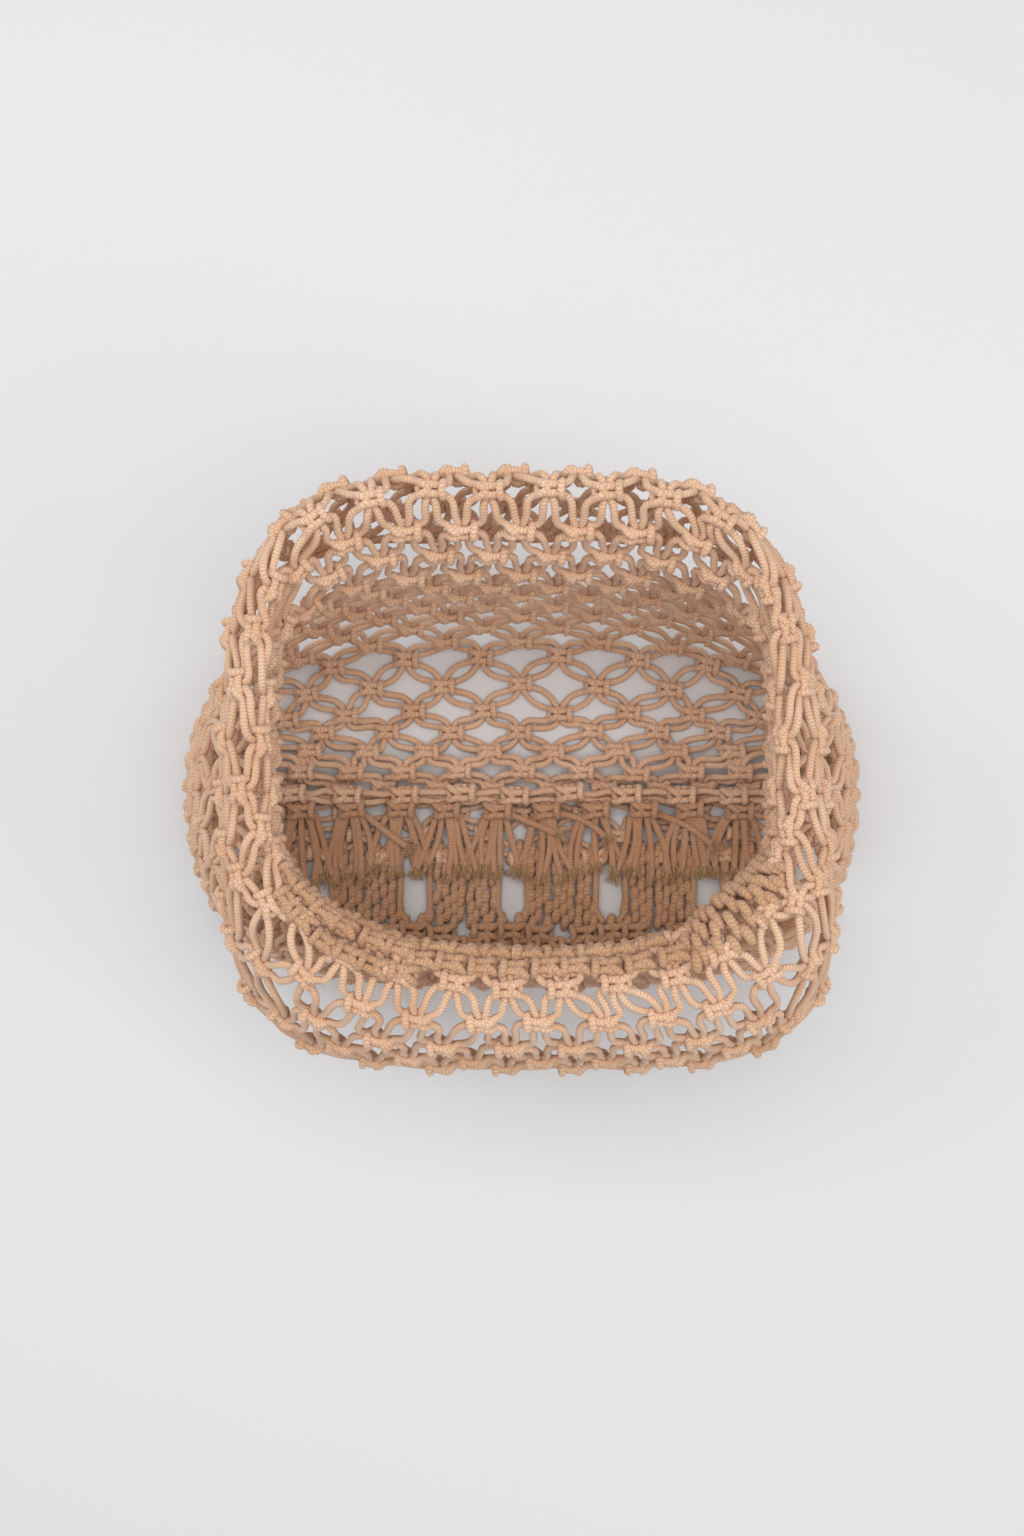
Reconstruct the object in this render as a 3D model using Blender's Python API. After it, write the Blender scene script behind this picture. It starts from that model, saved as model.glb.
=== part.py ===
"""A slouching handbag of knotted cotton cord, standing open on its flattened base.

The net is drawn flat, in a plane whose X counts half pitches of the net across a panel
and whose Y counts its rows of knots from the bottom seam to the hem. Each of its points
is then carried to its place on the bag's curved form. The origin is the middle of the base.
"""

import bisect
import math
from collections import namedtuple

import bmesh
import bpy
from mathutils import Vector

# Driving sizes of the slouching bag, in metres
BULGE_WIDTH = 0.386
MOUTH_WIDTH = 0.272
BACK_REACH = 0.1545
FRONT_REACH = 0.1545
BACK_HEIGHT = 0.222
FRONT_HEIGHT = 0.212
SIDE_HEIGHT = 0.206
FLAP_SHIFT = 0.009
FLAP_WIDEN = 0.014
BACK_SHIFT = -0.004

# The cord and what is knotted from it
CORD = 0.004
WALL = CORD
SEAM_GAP = 0.0003
SEAT_GAP = 0.0003
SEAM_STAND_OFF = 0.001
NET_STRIP = 0.27
KNOT_SWELL = 0.15

# The net's layout across one panel, in half pitches from side seam to side seam
HALF_PITCHES = 20
CORNER_AT = 2

# The tall gaps between the dense blocks of the floor band
BLOCK_PITCH = 0.060
BLOCK_GAPS = 5
BLOCK_SHIFT = -0.005
BLOCK_GAP_WIDTH = 0.017
BLOCK_GAP_LENGTH = 0.038
BLOCK_GAP_TIP = 0.008
BLOCK_BAND_AT = 0.063

# The rolled bottom seam and the fringe tied into it
ROLL_RADIUS = 0.005
ROLL_LENGTH = 0.300
TASSEL_COUNT = 10
TASSEL_PITCH = 0.0295
HEAD_WIDTH = 0.018
HEAD_DEPTH = 0.014
HEAD_HEIGHT = 0.010
TASSEL_LENGTH = 0.042
LOCKS = 4
LOCK_WIDTH = 0.0040
LOCK_HEIGHT = 0.0045
LOCK_SPREAD = math.radians(14)
FRINGE_TURNS = (-2, 1, -1, 2, -1, 0, 2, 1, -1, 1)
FRINGE_LENGTHS = (0.94, 1.00, 0.92, 1.04, 0.97, 1.06, 0.93, 1.02, 0.96, 0.90)

# The doubled cord along each hem
HEM_RADIUS = 0.004
HEM_FROM = 0.1

# One row for each station on the way up the side seam, from the bottom seam to the hem.
# width: share of half the width it follows, the bulge's to station 6 and the mouth's after
# up: share of SIDE_HEIGHT
Side = namedtuple("Side", "width up")
SIDE_LINE = [
    Side(0.900, 0.034),
    Side(0.945, 0.068),
    Side(0.975, 0.117),
    Side(0.990, 0.204),
    Side(0.990, 0.311),
    Side(0.955, 0.447),
    Side(0.875, 0.592),
    Side(0.985, 0.738),
    Side(0.955, 0.874),
    Side(0.940, 0.966),
    Side(0.985, 1.010),
    Side(1.060, 0.970),
    Side(1.100, 0.890),
]
MOUTH_FROM = 7

# One row for each station up the middle of a panel.
# out: share of the panel's reach, up: share of its height,
# corner: how square the section is, level: how long it stays level towards the side seam
Middle = namedtuple("Middle", "out up corner level")
BACK_LINE = [
    Middle(0.014, 0.009, 5.0, 3.0),
    Middle(0.080, 0.054, 4.8, 3.0),
    Middle(0.190, 0.012, 4.4, 3.0),
    Middle(0.380, 0.009, 3.4, 3.0),
    Middle(0.560, 0.018, 3.2, 3.0),
    Middle(0.650, 0.203, 3.2, 2.5),
    Middle(0.696, 0.473, 3.4, 2.0),
    Middle(0.740, 0.743, 3.8, 2.0),
    Middle(0.823, 0.919, 4.2, 2.0),
    Middle(0.937, 0.996, 4.2, 2.0),
    Middle(0.994, 0.950, 4.0, 2.0),
    Middle(0.985, 0.830, 4.0, 1.8),
    Middle(0.880, 0.680, 4.0, 1.6),
]
FRONT_LINE = [
    Middle(0.014, 0.009, 5.0, 3.0),
    Middle(0.110, 0.009, 4.8, 3.0),
    Middle(0.240, 0.009, 4.8, 3.0),
    Middle(0.460, 0.009, 4.6, 3.0),
    Middle(0.650, 0.025, 4.0, 3.0),
    Middle(0.715, 0.208, 3.8, 2.5),
    Middle(0.695, 0.491, 3.4, 2.0),
    Middle(0.605, 0.755, 2.8, 2.0),
    Middle(0.540, 0.934, 2.4, 2.0),
    Middle(0.615, 1.004, 2.6, 2.0),
    Middle(0.745, 0.962, 3.2, 2.0),
    Middle(0.875, 0.775, 3.7, 1.6),
    Middle(0.975, 0.520, 4.2, 1.4),
]
STATIONS = len(SIDE_LINE) - 1

# The stations at which the rows of knots lie, and whether each row's gaps are open
Row = namedtuple("Row", "station open sides")
BACK_ROWS = [
    Row(0.00, False, False), Row(1.00, False, False), Row(2.00, True, False),
    Row(2.65, True, False), Row(3.30, True, False), Row(3.95, True, False),
    Row(4.70, True, True), Row(5.50, True, True), Row(6.30, True, True),
    Row(7.10, True, False), Row(7.90, True, False), Row(8.70, True, False),
    Row(9.50, False, False), Row(10.6, False, False), Row(12.0, False, False),
]
FRONT_ROWS = [
    Row(0.00, False, False), Row(1.00, False, False), Row(2.00, False, False),
    Row(3.00, False, False), Row(4.00, False, False), Row(4.80, True, True),
    Row(5.60, True, True), Row(6.40, False, True), Row(7.20, False, False),
    Row(8.00, False, False), Row(8.70, False, False), Row(9.40, False, False),
    Row(10.2, True, False), Row(10.9, True, False), Row(11.5, True, False),
    Row(12.0, False, False),
]

COTTON = (0.60, 0.42, 0.27, 1.0)
COTTON_DENSE = (0.56, 0.38, 0.24, 1.0)
COTTON_FRINGE = (0.52, 0.35, 0.22, 1.0)


def clear_scene():
    for thing in list(bpy.data.objects):
        bpy.data.objects.remove(thing, do_unlink=True)


def collection(name):
    made = bpy.data.collections.new(name)
    bpy.context.scene.collection.children.link(made)
    return made


def cotton(name, colour):
    material = bpy.data.materials.new(name)
    material.use_nodes = True
    shader = material.node_tree.nodes["Principled BSDF"]
    shader.inputs["Base Color"].default_value = colour
    shader.inputs["Roughness"].default_value = 0.9
    shader.inputs["Metallic"].default_value = 0.0
    return material


def between(values, place):
    """The smooth value between the stations of a table, at a place counted in stations."""
    first = min(max(int(math.floor(place)), 0), len(values) - 2)
    t = place - first
    p1, p2 = values[first], values[first + 1]
    p0 = values[first - 1] if first > 0 else 2 * p1 - p2
    p3 = values[first + 2] if first + 2 < len(values) else 2 * p2 - p1
    slope_in, slope_out = (p2 - p0) / 2, (p3 - p1) / 2
    return ((2 * t ** 3 - 3 * t ** 2 + 1) * p1 + (t ** 3 - 2 * t ** 2 + t) * slope_in
            + (3 * t ** 2 - 2 * t ** 3) * p2 + (t ** 3 - t ** 2) * slope_out)


def side_widths():
    """Half the bag's width at each station, at the side seam."""
    widths = []
    for station, row in enumerate(SIDE_LINE):
        full = MOUTH_WIDTH if station >= MOUTH_FROM else BULGE_WIDTH
        widths.append(row.width * full / 2)
    return widths


class Panel:
    """The curved form of one panel: it places a point of the flat net on the bag."""

    def __init__(self, line, reach, height, facing, shift, widen):
        self.width = side_widths()
        self.side_z = [row.up * SIDE_HEIGHT for row in SIDE_LINE]
        self.mid_y = [facing * row.out * reach for row in line]
        self.mid_z = [row.up * height for row in line]
        self.corner = [row.corner for row in line]
        self.level = [row.level for row in line]
        self.facing = facing
        self.shift = shift
        self.widen = widen
        self.sections = {}

    def outline(self, station):
        """Half of a section, from the side seam to the middle, with its running lengths."""
        if station in self.sections:
            return self.sections[station]
        width, side_z, mid_y, mid_z, corner, level = (
            between(values, station) for values in
            (self.width, self.side_z, self.mid_y, self.mid_z, self.corner, self.level))
        over_rim = max(0.0, min(1.0, (station - MOUTH_FROM) / 3))
        steps = 14
        angles = [math.pi / 4 * (n / steps) ** 2 for n in range(steps + 1)]
        angles += [math.pi / 2 - math.pi / 4 * (1 - n / steps) ** 2 for n in range(1, steps + 1)]
        points = []
        for angle in angles:
            across = max(math.cos(angle), 0.0) ** (2 / corner)
            out = math.sin(angle) ** (2 / corner)
            rise = (1 - out * out) ** level
            y = mid_y * out + self.facing * SEAM_GAP / 2
            z = max(mid_z + (side_z - mid_z) * rise, WALL / 2)
            x = (width + self.widen * over_rim * out) * across
            points.append((x, self.shift * over_rim * out, y, z))
        lengths = [0.0]
        for a, b in zip(points, points[1:]):
            lengths.append(lengths[-1] + math.dist((a[0], a[2], a[3]), (b[0], b[2], b[3])))
        self.sections[station] = (points, lengths, lengths[steps])
        return self.sections[station]

    def place(self, column, station):
        """A point of the panel's middle surface, for a column counted in half pitches."""
        points, lengths, corner_length = self.outline(station)
        half = HALF_PITCHES / 2
        from_side = min(column, HALF_PITCHES - column)
        if from_side <= CORNER_AT:
            length = corner_length * from_side / CORNER_AT
        else:
            share = (from_side - CORNER_AT) / (half - CORNER_AT)
            length = corner_length + (lengths[-1] - corner_length) * share
        after = min(max(bisect.bisect_right(lengths, length), 1), len(lengths) - 1)
        t = (length - lengths[after - 1]) / (lengths[after] - lengths[after - 1])
        a, b = points[after - 1], points[after]
        x, lean, y, z = (p + (q - p) * t for p, q in zip(a, b))
        sign = -1 if column < half else 1
        return Vector((sign * x + lean, y, z))

    def across(self, column, station):
        step = 0.02
        low, high = max(column - step, 0), min(column + step, HALF_PITCHES)
        return (self.place(high, station) - self.place(low, station)).normalized()

    def along(self, column, station):
        step = 0.02
        low, high = max(station - step, 0), min(station + step, STATIONS)
        return (self.place(column, high) - self.place(column, low)).normalized()

    def normal(self, column, station):
        return self.across(column, station).cross(self.along(column, station)).normalized()


def flat_net(rows):
    """The panel's net drawn flat, as one sheet of rings round its gaps and closed cells."""
    mesh = bmesh.new()
    corners = {}

    def corner(column, row):
        key = (column, row)
        if key not in corners:
            corners[key] = mesh.verts.new((column, row, 0))
        return corners[key]

    open_cells, side_cells = [], []
    last = len(rows) - 1
    for row in range(last + 1):
        for column in range(HALF_PITCHES + 1):
            if (row + column) % 2 == 0:
                continue
            ring = [(column - 1, row), (column - 0.5, row - 0.5), (column, row - 1),
                    (column + 0.5, row - 0.5), (column + 1, row), (column + 0.5, row + 0.5),
                    (column, row + 1), (column - 0.5, row + 0.5)]
            inside = [p for p in ring if 0 <= p[0] <= HALF_PITCHES and 0 <= p[1] <= last]
            if len(inside) < len(ring) and (column, row) not in inside:
                inside = close_at_edge(inside, column, row, last)
            face = mesh.faces.new([corner(*p) for p in inside])
            at_side = min(column, HALF_PITCHES - column) <= CORNER_AT
            is_open = rows[row].sides if at_side else rows[row].open
            if is_open and len(inside) == len(ring):
                open_cells.append(face)
            elif at_side:
                side_cells.append(face)
    return mesh, open_cells, side_cells


def close_at_edge(points, column, row, last):
    """The corners of a cell that the sheet's edge cuts in half, with the edge's own point."""
    if column == 0 or column == HALF_PITCHES:
        edge = (column, row)
    else:
        edge = (column, 0 if row == 0 else last)
    points = points + [edge]
    centre = (sum(p[0] for p in points) / len(points), sum(p[1] for p in points) / len(points))
    points.sort(key=lambda p: math.atan2(p[1] - centre[1], p[0] - centre[0]))
    return points


def station_of(rows, row):
    """The station at which a place counted in rows of knots lies."""
    low = min(int(math.floor(row)), len(rows) - 2)
    share = row - low
    return rows[low].station * (1 - share) + rows[low + 1].station * share


def cut_gaps(mesh, open_cells):
    """Each open cell becomes a strip of net round a gap that narrows towards its knots."""
    bmesh.ops.inset_individual(mesh, faces=open_cells, thickness=NET_STRIP)
    for cell in open_cells:
        centre = cell.calc_center_bounds()
        for vert in cell.verts:
            from_centre = vert.co - centre
            if min(abs(from_centre.x), abs(from_centre.y)) < NET_STRIP / 4:
                vert.co = centre + from_centre * (1 - KNOT_SWELL)
    bmesh.ops.delete(mesh, geom=open_cells, context="FACES")


def make_panel(name, panel, rows, material, home):
    """One half of the bag: the flat net is given its wall and carried onto the form."""
    mesh, open_cells, side_cells = flat_net(rows)
    mesh.normal_update()
    bmesh.ops.poke(mesh, faces=side_cells)
    cut_gaps(mesh, open_cells)
    bmesh.ops.triangulate(mesh, faces=mesh.faces[:])
    made = bmesh.ops.extrude_face_region(mesh, geom=mesh.faces[:], use_keep_orig=True)
    for item in made["geom"]:
        if isinstance(item, bmesh.types.BMVert):
            item.co.z = 1
    for vert in mesh.verts:
        column, row, side = vert.co
        station = station_of(rows, row)
        middle = panel.place(column, station)
        out = panel.normal(column, station)
        vert.co = middle + out * WALL * (side - 0.5)
        vert.co.y = panel.facing * max(panel.facing * vert.co.y, SEAM_GAP / 2)
        vert.co.z = max(vert.co.z, 0)
    bmesh.ops.recalc_face_normals(mesh, faces=mesh.faces[:])
    data = bpy.data.meshes.new(name)
    mesh.to_mesh(data)
    mesh.free()
    data.materials.append(material)
    thing = bpy.data.objects.new(name, data)
    home.objects.link(thing)
    return thing


def tube(name, points, radius, material, home):
    """A cord along the points, with closed ends."""
    curve = bpy.data.curves.new(name, "CURVE")
    curve.dimensions = "3D"
    curve.bevel_depth = radius
    curve.bevel_resolution = 2
    curve.use_fill_caps = True
    spline = curve.splines.new("POLY")
    spline.points.add(len(points) - 1)
    for point, place in zip(spline.points, points):
        point.co = (*place, 1)
    spline.use_smooth = True
    curve.materials.append(material)
    thing = bpy.data.objects.new(name, curve)
    home.objects.link(thing)
    return thing


def make_hem(name, panel, material, home):
    """The doubled cord that closes a panel's free edge, just past the end of its net."""
    points = []
    for column in range(HALF_PITCHES + 1):
        edge = panel.across(column, STATIONS)
        past = panel.normal(column, STATIONS).cross(edge).normalized()
        points.append(panel.place(column, STATIONS) + past * (HEM_RADIUS + 2 * SEAT_GAP))
    points[0] = points[0].lerp(points[1], HEM_FROM)
    points[-1] = points[-1].lerp(points[-2], HEM_FROM)
    return tube(name, points, HEM_RADIUS, material, home)


def block_gap_cutter(name, x, home):
    """A tall gap with a pointed end towards the front, cut straight down through the floor."""
    half, front = BLOCK_GAP_WIDTH / 2, -(BLOCK_BAND_AT + BLOCK_GAP_LENGTH / 2)
    back = front + BLOCK_GAP_LENGTH
    outline = [(-half, back), (half, back), (half, front + BLOCK_GAP_TIP), (0, front),
               (-half, front + BLOCK_GAP_TIP)]
    mesh = bmesh.new()
    face = mesh.faces.new([mesh.verts.new((x + px, py, -WALL)) for px, py in outline])
    raised = bmesh.ops.extrude_face_region(mesh, geom=[face])
    top = [item for item in raised["geom"] if isinstance(item, bmesh.types.BMVert)]
    bmesh.ops.translate(mesh, verts=top, vec=(0, 0, 3 * WALL))
    bmesh.ops.recalc_face_normals(mesh, faces=mesh.faces[:])
    data = bpy.data.meshes.new(name)
    mesh.to_mesh(data)
    mesh.free()
    cutter = bpy.data.objects.new(name, data)
    cutter.hide_render = True
    cutter.display_type = "WIRE"
    home.objects.link(cutter)
    return cutter


def cut_block_gaps(panel_object, cutters_home):
    for n in range(BLOCK_GAPS):
        x = BLOCK_SHIFT + (n - (BLOCK_GAPS - 1) / 2) * BLOCK_PITCH
        cut = panel_object.modifiers.new(f"block_gap_{n + 1}", "BOOLEAN")
        cut.operation = "DIFFERENCE"
        cut.solver = "EXACT"
        cut.object = block_gap_cutter(f"block_gap_cutter_{n + 1}", x, cutters_home)


def tassel_mesh():
    """A flat bundle of cord ends that fan out from the knot they are tied in.

    The head is the knot, its front at -Y. The locks are fused to it by their root.
    """
    reach = TASSEL_LENGTH - HEAD_DEPTH
    mesh = bmesh.new()
    made = bmesh.ops.create_cube(mesh, size=1)
    bmesh.ops.translate(mesh, verts=made["verts"], vec=(0, -1 / 2, 1 / 2))
    bmesh.ops.scale(mesh, verts=made["verts"], vec=(HEAD_WIDTH, HEAD_DEPTH, HEAD_HEIGHT))
    middle, low = HEAD_HEIGHT / 2, LOCK_HEIGHT / 4
    front = min(mesh.faces, key=lambda f: f.calc_center_median().y)
    cuts = [e for e in front.edges if abs(e.verts[0].co.z - e.verts[1].co.z) < middle]
    bmesh.ops.subdivide_edges(mesh, edges=cuts, cuts=2 * LOCKS - 2, use_grid_fill=False)
    mesh.faces.ensure_lookup_table()
    strips = sorted((f for f in mesh.faces if all(v.co.y < -HEAD_DEPTH / 2 for v in f.verts)),
                    key=lambda f: f.calc_center_median().x)
    for n, strip in enumerate(strips[::2]):
        turn = LOCK_SPREAD * (n / (LOCKS - 1) - 0.5)
        for share, thick in ((0.55, 1.0), (1.0, 0.7)):
            made = bmesh.ops.extrude_discrete_faces(mesh, faces=[strip])
            strip = made["faces"][0]
            foot_x = (HEAD_WIDTH - LOCK_WIDTH) * (n / (LOCKS - 1) - 0.5)
            far_x = foot_x + math.sin(turn) * reach * share
            far_y = -HEAD_DEPTH - math.cos(turn) * reach * share
            middle_x = strip.calc_center_median().x
            corners = [(vert, vert.co.x > middle_x, vert.co.z > low) for vert in strip.verts]
            for vert, right, top in corners:
                side = (1 if right else -1) * LOCK_WIDTH * thick / 2
                vert.co = Vector((far_x + math.cos(turn) * side, far_y + math.sin(turn) * side,
                                  LOCK_HEIGHT * thick if top else 0))
    bmesh.ops.recalc_face_normals(mesh, faces=mesh.faces[:])
    data = bpy.data.meshes.new("tassel")
    mesh.to_mesh(data)
    mesh.free()
    return data


def make_tassels(material, home):
    """The fringe: a row of tassels along the front of the rolled seam."""
    data = tassel_mesh()
    data.materials.append(material)
    head_y = -(2 * ROLL_RADIUS + WALL / 2 + 2 * SEAT_GAP + SEAM_STAND_OFF)
    for n in range(TASSEL_COUNT):
        thing = bpy.data.objects.new(f"tassel_{n + 1}", data)
        x = (n - (TASSEL_COUNT - 1) / 2) * TASSEL_PITCH
        thing.location = (x, head_y, WALL + SEAT_GAP)
        thing.rotation_euler.z = math.radians(FRINGE_TURNS[n])
        thing.scale.y = FRINGE_LENGTHS[n]
        home.objects.link(thing)


def make_bottom_seam(material, home):
    """The rolled seam that lies on the floor of the front panel, before the back panel."""
    y = -(ROLL_RADIUS + SEAT_GAP + SEAM_STAND_OFF)
    z = WALL + SEAT_GAP + ROLL_RADIUS
    half = ROLL_LENGTH / 2
    points = [(half * (n / 10 - 1), y, z) for n in range(21)]
    return tube("bottom_seam", points, ROLL_RADIUS, material, home)


def build():
    clear_scene()
    bag = collection("knotted_handbag")
    cutters = collection("cutters")
    net = cotton("cotton_cord_net", COTTON)
    dense = cotton("cotton_cord_dense", COTTON_DENSE)
    fringe = cotton("cotton_cord_ends", COTTON_FRINGE)
    back = Panel(BACK_LINE, BACK_REACH, BACK_HEIGHT, 1, BACK_SHIFT, 0.0)
    front = Panel(FRONT_LINE, FRONT_REACH, FRONT_HEIGHT, -1, FLAP_SHIFT, FLAP_WIDEN)
    make_panel("back_panel", back, BACK_ROWS, net, bag)
    front_panel = make_panel("front_panel", front, FRONT_ROWS, dense, bag)
    cut_block_gaps(front_panel, cutters)
    make_hem("back_hem", back, net, bag)
    make_hem("front_hem", front, net, bag)
    make_bottom_seam(fringe, bag)
    make_tassels(fringe, bag)


build()
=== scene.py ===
"""The looks of a slouching handbag of knotted cotton cord.

Every cord is a swept round strand with its braid along it. The knots sit on the same
curved form as the CAD panels: a row of square knots at each station from the bottom seam
to the hem, each tied from four cords, and a leaf of two cords from knot to knot.
"""

import bisect
import math
from collections import namedtuple
from functools import lru_cache

import bmesh
import bpy
import numpy as np
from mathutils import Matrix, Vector


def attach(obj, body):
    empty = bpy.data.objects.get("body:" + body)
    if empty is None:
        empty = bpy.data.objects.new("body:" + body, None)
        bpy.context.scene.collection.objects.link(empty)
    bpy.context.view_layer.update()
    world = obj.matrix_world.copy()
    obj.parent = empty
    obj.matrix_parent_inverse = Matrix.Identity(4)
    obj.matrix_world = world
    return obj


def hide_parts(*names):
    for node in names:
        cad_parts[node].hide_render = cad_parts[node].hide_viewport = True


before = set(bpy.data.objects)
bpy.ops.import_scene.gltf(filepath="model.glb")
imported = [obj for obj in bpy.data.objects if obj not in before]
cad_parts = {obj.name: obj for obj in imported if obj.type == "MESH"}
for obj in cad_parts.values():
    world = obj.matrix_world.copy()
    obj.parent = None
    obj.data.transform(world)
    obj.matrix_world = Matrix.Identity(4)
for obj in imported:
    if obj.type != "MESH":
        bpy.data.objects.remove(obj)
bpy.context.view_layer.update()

bl_info = {
    "name": "Knotted cord handbag",
    "version": (1, 0, 0),
    "blender": (4, 5, 0),
    "location": "View3D > Sidebar > Handbag",
    "description": "Builds the cords, knots, fringe and studio of a knotted cotton handbag",
    "category": "Add Mesh",
}

MM = 0.001

# The form that the panels' solids have, in metres, as the CAD states it
BULGE_WIDTH = 0.386
MOUTH_WIDTH = 0.272
BACK_REACH = 0.1545
FRONT_REACH = 0.1545
BACK_HEIGHT = 0.222
FRONT_HEIGHT = 0.212
SIDE_HEIGHT = 0.206
FLAP_SHIFT = 0.009
FLAP_WIDEN = 0.014
BACK_SHIFT = -0.004
WALL = 0.004

# The net's layout across one panel, in half pitches from side seam to side seam
HALF_PITCHES = 26
CORNER_AT = 5
MOUTH_FROM = 7

# On the floor the net is stretched in the middle and crowds towards the side seams. From
# the first of these stations to the second it passes over to the even spread of the mouth.
FLOOR_TO = 3.0
EVEN_FROM = 6.0
FLOOR_CROWDING = 1.32

# width: share of half the bulge's width up to station 6, of half the mouth's after it
# up: share of SIDE_HEIGHT
Side = namedtuple("Side", "width up")
SIDE_LINE = [
    Side(0.900, 0.034), Side(0.945, 0.068), Side(0.975, 0.117), Side(0.990, 0.204),
    Side(0.990, 0.311), Side(0.955, 0.447), Side(0.875, 0.592), Side(0.985, 0.738),
    Side(0.955, 0.874), Side(0.940, 0.966), Side(0.985, 1.010), Side(1.060, 0.970),
    Side(1.100, 0.890),
]

# out: share of the panel's reach, up: share of its height,
# corner: how square the section is, level: how long it stays level towards the side seam
Middle = namedtuple("Middle", "out up corner level")
BACK_LINE = [
    Middle(0.014, 0.009, 5.0, 3.0), Middle(0.080, 0.054, 4.8, 3.0),
    Middle(0.190, 0.012, 4.4, 3.0), Middle(0.380, 0.009, 3.4, 3.0),
    Middle(0.560, 0.018, 3.2, 3.0), Middle(0.650, 0.203, 3.2, 2.5),
    Middle(0.696, 0.473, 3.4, 2.0), Middle(0.740, 0.743, 3.8, 2.0),
    Middle(0.823, 0.919, 4.2, 2.0), Middle(0.937, 0.996, 4.2, 2.0),
    Middle(0.994, 0.950, 4.0, 2.0), Middle(0.985, 0.830, 4.0, 1.8),
    Middle(0.880, 0.680, 4.0, 1.6),
]
FRONT_LINE = [
    Middle(0.014, 0.009, 5.0, 3.0), Middle(0.110, 0.009, 4.8, 3.0),
    Middle(0.240, 0.009, 4.8, 3.0), Middle(0.460, 0.009, 4.6, 3.0),
    Middle(0.650, 0.025, 4.0, 3.0), Middle(0.715, 0.208, 3.8, 2.5),
    Middle(0.695, 0.491, 3.4, 2.0), Middle(0.605, 0.755, 2.8, 2.0),
    Middle(0.540, 0.934, 2.4, 2.0), Middle(0.615, 1.004, 2.6, 2.0),
    Middle(0.745, 0.962, 3.2, 2.0), Middle(0.875, 0.775, 3.7, 1.6),
    Middle(0.975, 0.520, 4.2, 1.4),
]
STATIONS = len(SIDE_LINE) - 1

# Half a section is read at this many places each side of its corner
SECTION_STEPS = 14
# How far apart, in columns or stations, two places lie that give a direction on the form
STAND_STEP = 0.15

# The station of each row of knots: up the middle of the back, of the front, and at the side
Row = namedtuple("Row", "back front side")
KNOT_ROWS = [
    Row(0.00, 0.00, 0.00), Row(0.84, 0.95, 1.17), Row(1.60, 1.66, 2.16), Row(2.20, 2.20, 2.85),
    Row(2.59, 2.65, 3.45), Row(3.14, 3.10, 4.01), Row(3.73, 3.60, 4.45), Row(4.20, 4.14, 4.88),
    Row(4.76, 4.74, 5.27), Row(5.24, 5.24, 5.65), Row(5.66, 5.66, 6.03), Row(6.08, 6.08, 6.39),
    Row(6.50, 6.51, 6.75), Row(6.92, 6.93, 7.12), Row(7.49, 7.48, 7.53), Row(8.12, 8.03, 7.94),
    Row(9.05, 9.00, 8.57), Row(10.15, 9.85, 9.34), Row(10.97, 10.6, 10.3), Row(11.5, 11.3, 11.27),
    Row(12.0, 12.0, 12.0),
]
LAST_ROW = len(KNOT_ROWS) - 1

# Over how many half pitches the side seam's stations pass over to the panel's own
SIDE_BLEND = 7


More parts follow.
